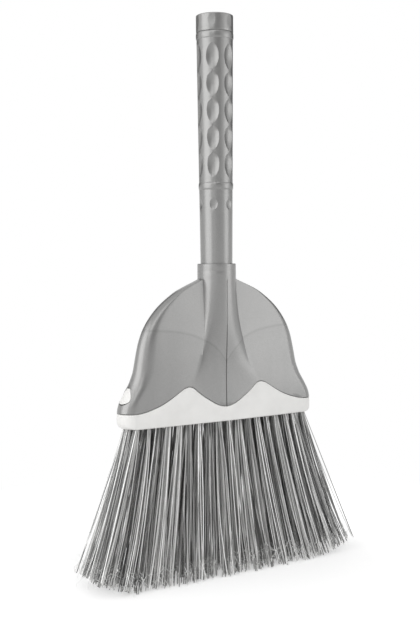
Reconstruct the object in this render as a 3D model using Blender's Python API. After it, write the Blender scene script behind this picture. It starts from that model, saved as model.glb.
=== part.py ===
"""Short hand broom: a tapered plastic handle screws into a bell-shaped hood, and a bristle block snaps in below.

The broom stands on its bristle tips: the floor is z = 0, its width runs along X and its front faces -Y.
"""

import math
import random

import bmesh
import bpy
from mathutils import Matrix, Vector

MM = 0.001

# Fits shared by all pieces
CLEARANCE = 0.3 * MM
CUT_OVERRUN = 6 * MM
JOIN_OVERLAP = 0.5 * MM

# Bristles
BRISTLE_LENGTH = 129 * MM
TUFT_PITCH = 9.3 * MM
ROW_PITCH = 5.8 * MM
STRIP_WIDTH = 4.2 * MM
STRIP_HEIGHT = 3 * MM
STRIP_SIDE_MARGIN = 1.4 * MM
TUFT_END_MARGIN = 2.6 * MM
FILAMENT_ROOT_RADIUS = 0.8 * MM
FILAMENT_TIP_RADIUS = 1.7 * MM
TUFT_HALF_LENGTH = 1.6 * MM
TUFT_HALF_WIDTH = 1.2 * MM
TIP_HALF_WIDTH = 122 * MM
TIP_ROW_PITCH = 15 * MM
TIP_TUFT_HALF_LENGTH = 4.3 * MM
TIP_TUFT_HALF_WIDTH = 4.2 * MM
TIP_SCATTER = 1.0 * MM
ROWS = 4

# Hood and block outlines
HALF_WIDTH = 97 * MM
BLOCK_HALF_DEPTH = 13.5 * MM
WING_TOP_HALF_DEPTH = 4.5 * MM
KEEL_PROUD = 1.2 * MM
KEEL_HALF_WIDTH = 44 * MM
END_ROUNDING = 14 * MM
BAND_HEIGHT = 13 * MM
WING_HEIGHT = 108 * MM
COLLAR_HEIGHT = 14 * MM
COLLAR_RADIUS = 16.8 * MM
COLLAR_EDGE = 0.8 * MM
ARCH_RISE = 19 * MM
HOOD_WALL = 2 * MM
HOLLOW_HEAD = 12 * MM

# Bristle block
BLOCK_CORNER = 5.5 * MM
BLOCK_EDGE = 1.2 * MM
BLOCK_LIP = 5.2 * MM
BLOCK_RIM = 2.2 * MM
BLOCK_RIB = 4 * MM
BLOCK_FLOOR = 14 * MM

# Latch tongues
WINDOW_RISE = 6.7 * MM
WINDOW_HEIGHT = 14 * MM
WINDOW_SHOULDER = 4 * MM
WINDOW_HALF_WIDTH = 8.2 * MM
WINDOW_HEAD_HALF_WIDTH = 2.8 * MM
TONGUE_THICKNESS = 1.6 * MM
TONGUE_HALF_WIDTH = 4.5 * MM
TONGUE_TIP = 3 * MM
TONGUE_ROOT = 5 * MM
END_WALL = 4 * MM
TONGUE_SWING = 13 * MM
TONGUE_SLOT = 4.9 * MM
LUG_FOOT_GAP = 0.5 * MM

# Handle
RECESS_DEPTH = 9 * MM
RECESS_GAP = 0.5 * MM
LOWER_TUBE_LENGTH = 66.9 * MM
RING_TO_SCOOP = 18.9 * MM
SCOOP_PITCH = 23.1 * MM
SCOOP_LENGTH = 22.4 * MM
SCOOP_WIDTH = 11.4 * MM
SCOOP_DEPTH = 2 * MM
SCOOP_ROWS = 5
COLUMNS = 6
COLUMN_TURN = math.radians(-131.4)
DIMPLE_DROP = 15.6 * MM
DIMPLE_LENGTH = 10 * MM
DIMPLE_WIDTH = 7 * MM
DIMPLE_DEPTH = 0.9 * MM
HANDLE_FOOT_RADIUS = 13.8 * MM
HANDLE_TOP_RADIUS = 15.9 * MM
HANDLE_BORE_RADIUS = 12 * MM
RING_HEIGHT = 6.2 * MM
RING_PROUD = 0.5 * MM
RING_EDGE = 1.2 * MM
RING_CAP_GAP = 0.1 * MM

# End cap
CAP_HEIGHT = 15.3 * MM
CAP_PROUD = 0.3 * MM
CAP_EDGE = 1.8 * MM
CAP_CROWN = 0.4 * MM
CAP_PLUG_LENGTH = 12 * MM

# Threaded plug and socket
FLANGE_THICKNESS = 2.4 * MM
PLUG_LENGTH = 24 * MM
SHANK_LENGTH = 26 * MM
SHANK_CORE_RADIUS = 9.5 * MM
SHANK_CHAMFER = 1.5 * MM
THREAD_HEIGHT = 1.5 * MM
THREAD_PITCH = 5 * MM
THREAD_GAP = 0.4 * MM
THREAD_TIP_GAP = 4 * MM
THREAD_TURNS = 3.5
BOSS_TAIL = 3 * MM
THREAD_ROOT_WIDTH_SHARE = 0.4
THREAD_CREST_WIDTH_SHARE = 0.24
THREAD_START_SHARE = 0.35

ROUND_SIDES = 30
TURN_STEPS = 15

# Outline of the hood and block from the front and the side: height share, then share of the change in size
WIDTH_SHARES = (
    (0, 1), (0.1, 1), (0.125, 0.997), (0.167, 0.979), (0.208, 0.947), (0.25, 0.908),
    (0.292, 0.869), (0.333, 0.842), (0.375, 0.819), (0.5, 0.781), (0.583, 0.751),
    (0.667, 0.7), (0.75, 0.618), (0.833, 0.498), (0.917, 0.32), (0.958, 0.187), (0.98, 0.095), (1, 0),
)
DEPTH_SHARES = (
    (0, 1), (0.125, 0.99), (0.25, 0.96), (0.367, 0.9), (0.483, 0.8),
    (0.6, 0.635), (0.733, 0.375), (0.875, 0.14), (1, 0),
)
CREASE_SHARES = (
    (0, 1), (0.1, 0.947), (0.208, 0.787), (0.292, 0.6), (0.367, 0.42),
    (0.42, 0.31), (0.483, 0.22), (0.6, 0.12), (0.733, 0.045), (0.9, 0.008), (1, 0),
)
KEEL_SHARES = ((0, 0), (0.1, 0), (0.3, 0.35), (0.5, 0.6), (0.7, 0.8), (0.85, 0.95), (1, 1))
ROUNDING_SHARES = (
    (0, 1), (0.1, 1), (0.167, 1.04), (0.25, 1.1), (0.39, 1.17), (0.55, 1.1), (0.7, 0.85), (0.84, 0.58), (1, 0.1),
)
# Lower edge of the hood: share of the half width, then share of the arch's rise
WAVE_SHARES = (
    (0, 0), (0.05, 0.035), (0.11, 0.15), (0.17, 0.325), (0.24, 0.555), (0.3, 0.79), (0.335, 0.935),
    (0.377, 1), (0.425, 0.94), (0.51, 0.68), (0.59, 0.45), (0.68, 0.25), (0.8, 0.07), (0.88, 0.01), (1, 0),
)
KEEL_LOW_SHARE = 0.5
KEEL_ROUND_SHARE = 0.8
SECTION_SHARES = (
    0, 0.1, 0.13, 0.167, 0.208, 0.25, 0.3, 0.36, 0.43, 0.52, 0.6, 0.68, 0.75, 0.82, 0.88, 0.93, 0.965, 0.985, 1,
)
KEEL_STEPS = 4
END_STEPS = 3
WAVE_STEPS = 24
SCOOP_SIDES = 12
WINDOW_STEPS = 5

# Heights that follow from the sizes above
BLOCK_BOTTOM = BRISTLE_LENGTH
HOOD_FOOT = BLOCK_BOTTOM + BAND_HEIGHT
WING_TOP = HOOD_FOOT + WING_HEIGHT
COLLAR_TOP = WING_TOP + COLLAR_HEIGHT
RECESS_FLOOR = COLLAR_TOP - RECESS_DEPTH
FLANGE_BOTTOM = RECESS_FLOOR + CLEARANCE
FLANGE_TOP = FLANGE_BOTTOM + FLANGE_THICKNESS
TUBE_BOTTOM = FLANGE_TOP + CLEARANCE
LOWER_RING = COLLAR_TOP + LOWER_TUBE_LENGTH
FIRST_SCOOP = LOWER_RING + RING_TO_SCOOP
UPPER_RING = FIRST_SCOOP + (SCOOP_ROWS - 1) * SCOOP_PITCH + RING_TO_SCOOP
TUBE_TOP = UPPER_RING + RING_HEIGHT / 2 + RING_CAP_GAP
CAP_BOTTOM = TUBE_TOP + CLEARANCE
CAP_TOP = CAP_BOTTOM + CAP_HEIGHT
BLOCK_TOP = HOOD_FOOT + ARCH_RISE + BLOCK_LIP
WINDOW_BOTTOM = HOOD_FOOT + WINDOW_RISE
WINDOW_TOP = WINDOW_BOTTOM + WINDOW_HEIGHT
THREAD_CREST_RADIUS = SHANK_CORE_RADIUS + THREAD_HEIGHT
SOCKET_RADIUS = THREAD_CREST_RADIUS + THREAD_GAP
SHANK_BOTTOM = FLANGE_BOTTOM - SHANK_LENGTH
PIVOT_HEIGHT = BLOCK_BOTTOM + TONGUE_ROOT + CLEARANCE


def clear_scene():
    for found in list(bpy.data.objects):
        bpy.data.objects.remove(found, do_unlink=True)


def finish_material(name, colour, roughness, metallic):
    material = bpy.data.materials.new(name)
    material.use_nodes = True
    shader = material.node_tree.nodes["Principled BSDF"]
    shader.inputs["Base Color"].default_value = (*colour, 1)
    shader.inputs["Roughness"].default_value = roughness
    shader.inputs["Metallic"].default_value = metallic
    return material


def object_from(bm, name, material=None, sharp_angle=math.radians(35), origin=(0, 0, 0)):
    """The finished bmesh as an object whose origin lies at the given place."""
    bmesh.ops.recalc_face_normals(bm, faces=bm.faces)
    bmesh.ops.translate(bm, vec=-Vector(origin), verts=bm.verts)
    mesh = bpy.data.meshes.new(name)
    bm.to_mesh(mesh)
    bm.free()
    mesh.shade_smooth()
    mesh.set_sharp_from_angle(angle=sharp_angle)
    made = bpy.data.objects.new(name, mesh)
    made.location = origin
    if material:
        mesh.materials.append(material)
    bpy.context.scene.collection.objects.link(made)
    return made


def combine(target, other, operation):
    """Joins the other shape to the target, or cuts it out, and keeps the other as a hidden guide."""
    other.hide_render = True
    other.display_type = "WIRE"
    modifier = target.modifiers.new(other.name, "BOOLEAN")
    modifier.operation = operation
    modifier.solver = "EXACT"
    modifier.object = other


def smooth_table(table, place):
    """Value at a place between the table's points, on a smooth curve through them."""
    last = len(table) - 1
    place = min(max(place, table[0][0]), table[last][0])
    i = 0
    while i < last - 1 and place > table[i + 1][0]:
        i += 1
    start, end = table[i], table[i + 1]
    before = table[max(i - 1, 0)]
    after = table[min(i + 2, last)]
    span = end[0] - start[0]
    start_slope = (end[1] - before[1]) / (end[0] - before[0]) * span
    end_slope = (after[1] - start[1]) / (after[0] - start[0]) * span
    t = (place - start[0]) / span
    return (
        (2 * t**3 - 3 * t**2 + 1) * start[1]
        + (t**3 - 2 * t**2 + t) * start_slope
        + (3 * t**2 - 2 * t**3) * end[1]
        + (t**3 - t**2) * end_slope
    )


def height_share(height):
    return (height - BLOCK_BOTTOM) / (WING_TOP - BLOCK_BOTTOM)


def half_width_at(height):
    return COLLAR_RADIUS + (HALF_WIDTH - COLLAR_RADIUS) * smooth_table(WIDTH_SHARES, height_share(height))


def half_depth_at(height):
    change = BLOCK_HALF_DEPTH - WING_TOP_HALF_DEPTH
    return WING_TOP_HALF_DEPTH + change * smooth_table(DEPTH_SHARES, height_share(height))


def crease_at(height):
    """How far from the middle the wings meet the round socket, which widens into the keel."""
    top = COLLAR_RADIUS * math.sin(keel_arc())
    return top + (KEEL_HALF_WIDTH - top) * smooth_table(CREASE_SHARES, height_share(height))


def keel_depth_at(height):
    foot = BLOCK_HALF_DEPTH + KEEL_PROUD
    return foot + (COLLAR_RADIUS - foot) * smooth_table(KEEL_SHARES, height_share(height))


def keel_arc():
    """Half the turn of the round socket that shows in front of the wings."""
    return math.acos(WING_TOP_HALF_DEPTH / COLLAR_RADIUS)


def keel_curve(across, height):
    """Share of the keel's depth at a share of its half width: a circle at the socket, a low dome further down."""
    level = math.cos(keel_arc())
    rounded = (math.sqrt(1 - (across * math.sin(keel_arc())) ** 2) - level) / (1 - level)
    t = (height_share(height) - KEEL_LOW_SHARE) / (KEEL_ROUND_SHARE - KEEL_LOW_SHARE)
    t = min(max(t, 0), 1)
    blend = t * t * (3 - 2 * t)
    return blend * rounded + (1 - blend) * (1 - across * across)


def edge_slant(height):
    """Length of the side edge for each unit of height, which a wall's thickness across it follows."""
    step = COLLAR_HEIGHT / 10
    change = half_width_at(height + step) - half_width_at(height - step)
    return math.hypot(1, change / (2 * step))


def hood_section(height, inset=0):
    """Closed outline of the hood and block at a height, pulled in by the inset."""
    width = half_width_at(height) - inset * edge_slant(height)
    depth = half_depth_at(height) - inset
    crease = min(crease_at(height) - inset, width * 0.97)
    keel = keel_depth_at(height) - inset
    rounding = END_ROUNDING * smooth_table(ROUNDING_SHARES, height_share(height))
    shoulder = crease + max(width - rounding - crease, (width - crease) / 4)
    quarter = []
    for i in range(KEEL_STEPS + 1):
        across = math.sin(keel_arc() * i / KEEL_STEPS) / math.sin(keel_arc())
        quarter.append((crease * across, depth + (keel - depth) * keel_curve(across, height)))
    for i in range(END_STEPS + 1):
        turn = math.pi / 2 * i / END_STEPS
        quarter.append((shoulder + (width - shoulder) * math.sin(turn), depth * math.cos(turn)))
    quarter[-1] = (width, 0)
    right_front = [(x, -y) for x, y in quarter]
    right_back = [(x, y) for x, y in reversed(quarter[:-1])]
    left_back = [(-x, y) for x, y in quarter[1:]]
    left_front = [(-x, -y) for x, y in reversed(quarter[1:-1])]
    return [(x, y, height) for x, y in right_front + right_back + left_back + left_front]


def loft(sections):
    """Closed mesh through a stack of outlines that have the same number of points."""
    bm = bmesh.new()
    rings = [[bm.verts.new(point) for point in section] for section in sections]
    for lower, upper in zip(rings, rings[1:]):
        for i in range(len(lower)):
            j = (i + 1) % len(lower)
            bm.faces.new((lower[i], lower[j], upper[j], upper[i]))
    bm.faces.new(reversed(rings[0]))
    bm.faces.new(rings[-1])
    return bm


def hood_body(bottom, top, inset=0):
    """Solid of the hood's own outline between two heights, pulled in by the inset."""
    inner = [BLOCK_BOTTOM + share * (WING_TOP - BLOCK_BOTTOM) for share in SECTION_SHARES]
    near = (WING_TOP - BLOCK_BOTTOM) / 200
    heights = [bottom] + [z for z in inner if bottom + near < z < top - near] + [top]
    return loft([hood_section(z, inset) for z in heights])


def turned(outline, closed=False, sides=ROUND_SIDES, turn=0):
    """Mesh turned about Z from (radius, height) points, which may start and end on the axis."""
    bm = bmesh.new()
    start = Vector((math.cos(turn), math.sin(turn), 0))
    points = [bm.verts.new(start * radius + Vector((0, 0, height))) for radius, height in outline]
    edges = [bm.edges.new(pair) for pair in zip(points, points[1:])]
    if closed:
        edges.append(bm.edges.new((points[-1], points[0])))
    bmesh.ops.spin(
        bm, geom=points + edges, cent=(0, 0, 0), axis=(0, 0, 1), angle=math.tau, steps=sides, use_merge=True
    )
    bmesh.ops.remove_doubles(bm, verts=bm.verts, dist=CLEARANCE / 1000)
    return bm


def prism(outline, axis, start, end):
    """Outline points pushed along one axis: the two coordinates of each point are the other axes, in order."""
    bm = bmesh.new()
    ends = []
    for place in (start, end):
        points = [list(point) for point in outline]
        for point in points:
            point.insert(axis, place)
        ends.append([bm.verts.new(point) for point in points])
    first, second = ends
    bm.faces.new(reversed(first))
    bm.faces.new(second)
    for i in range(len(first)):
        j = (i + 1) % len(first)
        bm.faces.new((first[i], first[j], second[j], second[i]))
    return bm


def box_into(bm, low, high):
    made = bmesh.ops.create_cube(bm, size=1)
    size = Vector(high) - Vector(low)
    middle = (Vector(high) + Vector(low)) / 2
    bmesh.ops.transform(bm, matrix=Matrix.LocRotScale(middle, None, size), verts=made["verts"])


def wave_outline(lowered, floor):
    """Closed outline in X and Z below the hood's wavy edge, which dips at the middle and at both ends."""
    reach = HALF_WIDTH + CUT_OVERRUN
    points = []
    for i in range(WAVE_STEPS * 2 + 1):
        x = HALF_WIDTH * (i - WAVE_STEPS) / WAVE_STEPS
        rise = ARCH_RISE * smooth_table(WAVE_SHARES, abs(x) / HALF_WIDTH)
        points.append((x, HOOD_FOOT + rise - lowered))
    points[0] = (-reach, HOOD_FOOT - lowered)
    points[-1] = (reach, HOOD_FOOT - lowered)
    return [(reach, floor), (-reach, floor)] + points


def thread_ridge(base_radius, crest_radius, bottom, turns):
    """Right-hand helical ridge with faded ends, as one closed body."""
    bm = bmesh.new()
    steps = round(turns * TURN_STEPS)
    fade = TURN_STEPS / 2
    rings = []
    for i in range(steps + 1):
        turn = math.tau * (i + THREAD_START_SHARE) / TURN_STEPS
        height = bottom + THREAD_PITCH * i / TURN_STEPS
        grown = min(1, (i + 1) / fade, (steps - i + 1) / fade)
        crest = base_radius + (crest_radius - base_radius) * (0.35 + 0.65 * grown)
        root_half = THREAD_PITCH * THREAD_ROOT_WIDTH_SHARE / 2
        crest_half = THREAD_PITCH * THREAD_CREST_WIDTH_SHARE / 2
        profile = (
            (base_radius, -root_half), (base_radius, root_half), (crest, crest_half), (crest, -crest_half)
        )
        rings.append([
            bm.verts.new((radius * math.cos(turn), radius * math.sin(turn), height + along))
            for radius, along in profile
        ])
    for before, after in zip(rings, rings[1:]):
        for i in range(4):
            j = (i + 1) % 4
            bm.faces.new((before[i], before[j], after[j], after[i]))
    bm.faces.new(reversed(rings[0]))
    bm.faces.new(rings[-1])
    return bm


def handle_radius(height):
    share = (height - TUBE_BOTTOM) / (UPPER_RING - TUBE_BOTTOM)
    return HANDLE_FOOT_RADIUS + (HANDLE_TOP_RADIUS - HANDLE_FOOT_RADIUS) * share


def ring_outline(middle):
    """Raised band round the handle, with sloping edges."""
    half = RING_HEIGHT / 2
    low, high = middle - half, middle + half
    return [
        (handle_radius(low), low),
        (handle_radius(low) + RING_PROUD, low + RING_EDGE),
        (handle_radius(high) + RING_PROUD, high - RING_EDGE),
        (handle_radius(high), high),
    ]


def scoop_into(bm, turn, middle, length, width, depth):
    """Lens-shaped cutter for one hollow in the handle's side, a little taller than the surface."""
    radius = handle_radius(middle)
    half_turn = width / 2 / HANDLE_TOP_RADIUS
    lid = CLEARANCE / 2
    outer_share = math.sqrt(1 + lid / depth)

    def place(share, angle, proud=0.0):
        around = turn + half_turn * share * math.cos(angle)
        height = middle + length / 2 * share * math.sin(angle)
        away = handle_radius(height) - depth * (1 - share * share) + proud
        return (away * math.cos(around), away * math.sin(around), height)

    angles = [math.tau * i / SCOOP_SIDES for i in range(SCOOP_SIDES)]
    deepest = bm.verts.new(place(0, 0))
    rings = [[bm.verts.new(place(share, angle)) for angle in angles] for share in (0.5, outer_share)]
    top = bm.verts.new(((radius + depth) * math.cos(turn), (radius + depth) * math.sin(turn), middle))
    for i in range(SCOOP_SIDES):
        j = (i + 1) % SCOOP_SIDES
        bm.faces.new((deepest, rings[0][j], rings[0][i]))
        bm.faces.new((rings[0][i], rings[0][j], rings[1][j], rings[1][i]))
        bm.faces.new((rings[1][i], rings[1][j], top))


def make_handle_grip(material):
    """Hollow tapered tube with two raised rings, five rows of finger scoops and one row of small dimples."""
    outer = [(handle_radius(TUBE_BOTTOM), TUBE_BOTTOM)]
    outer += ring_outline(LOWER_RING) + ring_outline(UPPER_RING)
    outer += [(handle_radius(TUBE_TOP), TUBE_TOP)]
    inner = [(HANDLE_BORE_RADIUS, TUBE_TOP), (HANDLE_BORE_RADIUS, TUBE_BOTTOM)]
    grip = object_from(turned(outer + inner, closed=True, turn=COLUMN_TURN), "handle_grip", material)
    bm = bmesh.new()
    for column in range(COLUMNS):
        turn = COLUMN_TURN + math.tau * column / COLUMNS
        for row in range(SCOOP_ROWS):
            scoop_into(bm, turn, FIRST_SCOOP + row * SCOOP_PITCH, SCOOP_LENGTH, SCOOP_WIDTH, SCOOP_DEPTH)
        scoop_into(bm, turn, LOWER_RING - DIMPLE_DROP, DIMPLE_LENGTH, DIMPLE_WIDTH, DIMPLE_DEPTH)
    combine(grip, object_from(bm, "scoop_cutters"), "DIFFERENCE")
    return grip


def make_end_cap(material):
    """Round cap pressed into the top of the handle, with a rounded rim and a slightly crowned top."""
    radius = handle_radius(TUBE_TOP) + CAP_PROUD
    plug = HANDLE_BORE_RADIUS - CLEARANCE
    rim = CAP_TOP - CAP_CROWN
    outline = [(0, CAP_TOP), (radius / 2, CAP_TOP)]
    for i in range(4):
        turn = math.pi / 2 * i / 3
        outline.append((radius - CAP_EDGE * (1 - math.sin(turn)), rim - CAP_EDGE * (1 - math.cos(turn))))
    outline += [
        (radius, CAP_BOTTOM),
        (plug, CAP_BOTTOM),
        (plug, CAP_BOTTOM - CAP_PLUG_LENGTH),
        (0, CAP_BOTTOM - CAP_PLUG_LENGTH),
    ]
    return object_from(turned(outline, turn=COLUMN_TURN), "end_cap", material)


def make_thread_plug(material):
    """Plug pressed into the foot of the handle, with a flange and a coarse right-hand thread below."""
    body = HANDLE_BORE_RADIUS - CLEARANCE
    outline = [
        (0, TUBE_BOTTOM + PLUG_LENGTH),
        (body, TUBE_BOTTOM + PLUG_LENGTH),
        (body, FLANGE_TOP),
        (HANDLE_FOOT_RADIUS, FLANGE_TOP),
        (HANDLE_FOOT_RADIUS, FLANGE_BOTTOM),
        (SHANK_CORE_RADIUS, FLANGE_BOTTOM),
        (SHANK_CORE_RADIUS, SHANK_BOTTOM + SHANK_CHAMFER),
        (SHANK_CORE_RADIUS - SHANK_CHAMFER, SHANK_BOTTOM),
        (0, SHANK_BOTTOM),
    ]
    plug = object_from(turned(outline, turn=COLUMN_TURN), "thread_plug", material)
    ridge = thread_ridge(
        SHANK_CORE_RADIUS - JOIN_OVERLAP, THREAD_CREST_RADIUS, SHANK_BOTTOM + THREAD_TIP_GAP, THREAD_TURNS
    )
    combine(plug, object_from(ridge, "plug_thread"), "UNION")
    return plug


def window_outline(gap=0, foot_gap=0):
    """Outline in Y and Z of the latch window: a rounded foot, and sides that draw in to a short head."""
    head, half = WINDOW_HEAD_HALF_WIDTH - gap, WINDOW_HALF_WIDTH - gap
    top, shoulder = WINDOW_TOP - gap, WINDOW_BOTTOM + WINDOW_SHOULDER
    side = []
    for i in range(WINDOW_STEPS + 1):
        turn = math.pi / 2 * i / WINDOW_STEPS
        side.append((head + (half - head) * math.sin(turn), top - (top - shoulder) * i / WINDOW_STEPS))
    foot = []
    for i in range(1, 2 * WINDOW_STEPS):
        turn = math.pi / 2 * i / WINDOW_STEPS
        foot.append((-half * math.cos(turn), shoulder - (WINDOW_SHOULDER - gap - foot_gap) * math.sin(turn)))
    return [(-y, z) for y, z in side] + foot + list(reversed(side))


def make_hood(material):
    """Bell-shaped hood: a thin shell open below, with a collar and a threaded socket at the top."""
    sections = []
    for share in SECTION_SHARES:
        sections.append(hood_section(BLOCK_BOTTOM + share * (WING_TOP - BLOCK_BOTTOM)))
    collar = hood_section(WING_TOP)
    rim_share = (COLLAR_RADIUS - COLLAR_EDGE) / COLLAR_RADIUS
    sections.append([(x, y, COLLAR_TOP - COLLAR_EDGE) for x, y, _ in collar])
    sections.append([(x * rim_share, y * rim_share, COLLAR_TOP) for x, y, _ in collar])
    hood = object_from(loft(sections), "hood", material)

    hollow_top = WING_TOP - HOLLOW_HEAD
    hollow = hood_body(BLOCK_BOTTOM - CUT_OVERRUN, hollow_top, HOOD_WALL)
    combine(hood, object_from(hollow, "hood_hollow"), "DIFFERENCE")

    below = prism(wave_outline(0, BLOCK_BOTTOM - CUT_OVERRUN), 1, -HALF_WIDTH, HALF_WIDTH)
    combine(hood, object_from(below, "hood_lower_edge"), "DIFFERENCE")

    reach = HALF_WIDTH + CUT_OVERRUN
    windows = prism(window_outline(), 0, -reach, reach)
    combine(hood, object_from(windows, "latch_windows"), "DIFFERENCE")

    boss_radius = COLLAR_RADIUS - HOOD_WALL / 2
    boss_bottom = SHANK_BOTTOM - BOSS_TAIL
    boss_outline = [
        (0, hollow_top + CUT_OVERRUN),
        (boss_radius - JOIN_OVERLAP, hollow_top + CUT_OVERRUN),
        (boss_radius - JOIN_OVERLAP, boss_bottom),
        (0, boss_bottom),
    ]
    combine(hood, object_from(turned(boss_outline), "socket_boss"), "UNION")

    bore_outline = [
        (0, COLLAR_TOP + CUT_OVERRUN),
        (HANDLE_FOOT_RADIUS + RECESS_GAP, COLLAR_TOP + CUT_OVERRUN),
        (HANDLE_FOOT_RADIUS + RECESS_GAP, RECESS_FLOOR),
        (SOCKET_RADIUS, RECESS_FLOOR),
        (SOCKET_RADIUS, boss_bottom - CUT_OVERRUN),
        (0, boss_bottom - CUT_OVERRUN),
    ]
    combine(hood, object_from(turned(bore_outline), "socket_bore"), "DIFFERENCE")

    thread_bottom = SHANK_BOTTOM + THREAD_TIP_GAP + THREAD_PITCH / 2
    ridge = thread_ridge(
        SOCKET_RADIUS + JOIN_OVERLAP, SHANK_CORE_RADIUS + THREAD_GAP, thread_bottom, THREAD_TURNS
    )
    combine(hood, object_from(ridge, "socket_thread"), "UNION")

    return hood


def tongue_line():
    """Outer face of the right latch tongue in X and Z: its root and its tip."""
    tip_height = WINDOW_TOP + TONGUE_TIP
    inner_wall = half_width_at(tip_height) - HOOD_WALL * edge_slant(tip_height)
    return (HALF_WIDTH - END_WALL, PIVOT_HEIGHT), (inner_wall - CLEARANCE * 2, tip_height)


def strip_half_length(row_offset):
    """Half length of the strip that fits the block's flat underside at this distance from the middle."""
    width = HALF_WIDTH - BLOCK_CORNER
    depth = BLOCK_HALF_DEPTH - BLOCK_EDGE
    edge = (abs(row_offset) + STRIP_WIDTH / 2) / depth
    rounding = END_ROUNDING - END_ROUNDING * math.sqrt(max(1 - edge * edge, 0))
    return width - rounding - STRIP_SIDE_MARGIN


def row_offsets():
    return [(row - (ROWS - 1) / 2) * ROW_PITCH for row in range(ROWS)]


def make_bristle_block(material):
    """White block whose band continues the hood's faces, with a rim that plugs into the hood."""
    band_top = HOOD_FOOT + ARCH_RISE
    sections = []
    for lift_share, pull_share in ((0, 1), (0.12, 0.5), (0.42, 0.13), (1, 0)):
        height = BLOCK_BOTTOM + BLOCK_CORNER * lift_share
        along = 1 - pull_share * BLOCK_CORNER / HALF_WIDTH
        across = 1 - pull_share * BLOCK_EDGE / BLOCK_HALF_DEPTH
        sections.append([(x * along, y * across, height) for x, y, _ in hood_section(height)])
    for share in SECTION_SHARES:
        height = BLOCK_BOTTOM + share * (WING_TOP - BLOCK_BOTTOM)
        if BLOCK_BOTTOM + BLOCK_CORNER * 1.1 < height < band_top:
            sections.append(hood_section(height))
    sections.append(hood_section(band_top))
    block = object_from(loft(sections), "bristle_block", material)

    wave = wave_outline(CLEARANCE, BLOCK_BOTTOM - CUT_OVERRUN)
    combine(block, object_from(prism(wave, 1, -HALF_WIDTH, HALF_WIDTH), "block_upper_edge"), "INTERSECT")

    inset = HOOD_WALL + CLEARANCE
    plug = hood_body(BLOCK_BOTTOM + BLOCK_CORNER, BLOCK_TOP, inset)
    combine(block, object_from(plug, "block_plug"), "UNION")

    (root, floor), (tip, _) = tongue_line()
    floor -= CLEARANCE
    lug_bottom = WINDOW_BOTTOM - CLEARANCE * 2
    beyond = HALF_WIDTH + CUT_OVERRUN
    above = BLOCK_TOP + CUT_OVERRUN
    swung = tip - TONGUE_THICKNESS - TONGUE_SWING
    slot_inside = root - TONGUE_THICKNESS - TONGUE_SLOT
    slot = [
        (root + CLEARANCE, floor), (root + CLEARANCE, HOOD_FOOT + CLEARANCE),
        (slot_inside, HOOD_FOOT + CLEARANCE), (slot_inside, floor),
    ]
    pocket = [
        (root + CLEARANCE * 2, HOOD_FOOT), (root + CLEARANCE * 2, lug_bottom), (beyond, lug_bottom),
        (beyond, above), (swung, above), (slot_inside - CLEARANCE, HOOD_FOOT),
    ]
    for side, word in ((-1, "left"), (1, "right")):
        half = TONGUE_HALF_WIDTH + CLEARANCE * 2
        shape = prism([(x * side, z) for x, z in slot], 1, -half, half)
        combine(block, object_from(shape, "latch_slot_" + word), "DIFFERENCE")
        half = WINDOW_HALF_WIDTH + CLEARANCE
        shape = prism([(x * side, z) for x, z in pocket], 1, -half, half)
        combine(block, object_from(shape, "latch_pocket_" + word), "DIFFERENCE")

    hollow = bmesh.new()
    length = swung - BLOCK_RIB
    depth = half_depth_at(BLOCK_TOP) - inset - BLOCK_RIM
    box_into(hollow, (-length, -depth, BLOCK_BOTTOM + BLOCK_FLOOR), (length, depth, above))
    combine(block, object_from(hollow, "block_hollow"), "DIFFERENCE")

    bm = bmesh.new()
    for offset in row_offsets():
        length = strip_half_length(offset) + CLEARANCE
        half = STRIP_WIDTH / 2 + CLEARANCE
        box_into(
            bm,
            (-length, offset - half, BLOCK_BOTTOM - CUT_OVERRUN),
            (length, offset + half, BLOCK_BOTTOM + STRIP_HEIGHT + CLEARANCE),
        )
    combine(block, object_from(bm, "strip_grooves"), "DIFFERENCE")
    return block


def make_latch(name, side, material):
    """Springy tongue that stands in the block's end, with a lug that fills the hood's window flush."""
    (root, floor), (tip, top) = tongue_line()
    middle = root - TONGUE_THICKNESS / 2
    origin = (side * middle, 0, floor)
    outline = [(root, floor), (tip, top), (tip - TONGUE_THICKNESS, top), (root - TONGUE_THICKNESS, floor)]
    outline = [(x * side, z) for x, z in outline]
    latch = object_from(
        prism(outline, 1, -TONGUE_HALF_WIDTH, TONGUE_HALF_WIDTH), name, material, origin=origin
    )
    inner = hood_body(BLOCK_BOTTOM, WINDOW_TOP + TONGUE_TIP * 2, HOOD_WALL + CLEARANCE)
    combine(latch, object_from(inner, name + "_inner_limit"), "INTERSECT")

    lug = prism(window_outline(CLEARANCE, LUG_FOOT_GAP), 0, 0, side * (HALF_WIDTH + CUT_OVERRUN))
    lug = object_from(lug, name + "_lug")
    behind = [
        (-CUT_OVERRUN, floor - CUT_OVERRUN), (-CUT_OVERRUN, top + CUT_OVERRUN),
        (tip - JOIN_OVERLAP, top + CUT_OVERRUN), (tip - JOIN_OVERLAP, top),
        (root - JOIN_OVERLAP, floor), (root - JOIN_OVERLAP, floor - CUT_OVERRUN),
    ]
    behind = prism([(x * side, z) for x, z in behind], 1, -HALF_WIDTH, HALF_WIDTH)
    combine(lug, object_from(behind, name + "_lug_back"), "DIFFERENCE")
    outer = hood_body(BLOCK_BOTTOM, WINDOW_TOP + TONGUE_TIP * 2)
    combine(lug, object_from(outer, name + "_outer_limit"), "INTERSECT")
    combine(latch, lug, "UNION")
    return latch


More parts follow.
